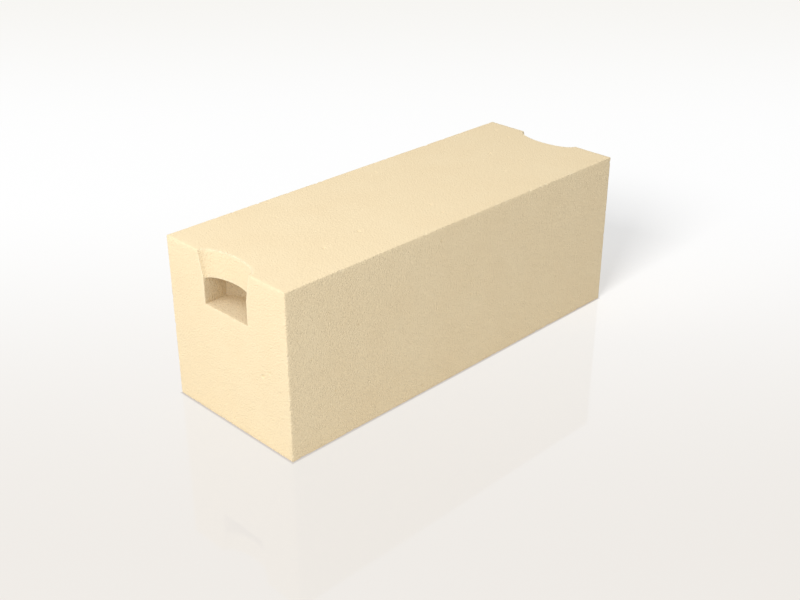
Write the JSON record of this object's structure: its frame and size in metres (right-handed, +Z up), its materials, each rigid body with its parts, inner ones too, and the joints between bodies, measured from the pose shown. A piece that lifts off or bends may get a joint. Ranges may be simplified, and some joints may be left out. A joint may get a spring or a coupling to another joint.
{
  "type": "aerated concrete block",
  "caption": "Rectangular aerated concrete wall block with a hand grip cut into each end: a square finger pocket below a curved palm relief that opens to the top face.",
  "frame": {"origin": "middle of the bed face, on which the block lies", "axes": "+X along the length, +Y through the wall's thickness, +Z up the course height to the face that the palm reliefs open to"},
  "size_m": [0.6, 0.222, 0.224],
  "materials": {
    "aerated_concrete": "matt, wire-cut, finely sandy"
  },
  "bodies": {
    "root": {"block": "aerated_concrete"}
  },
  "joints": []
}
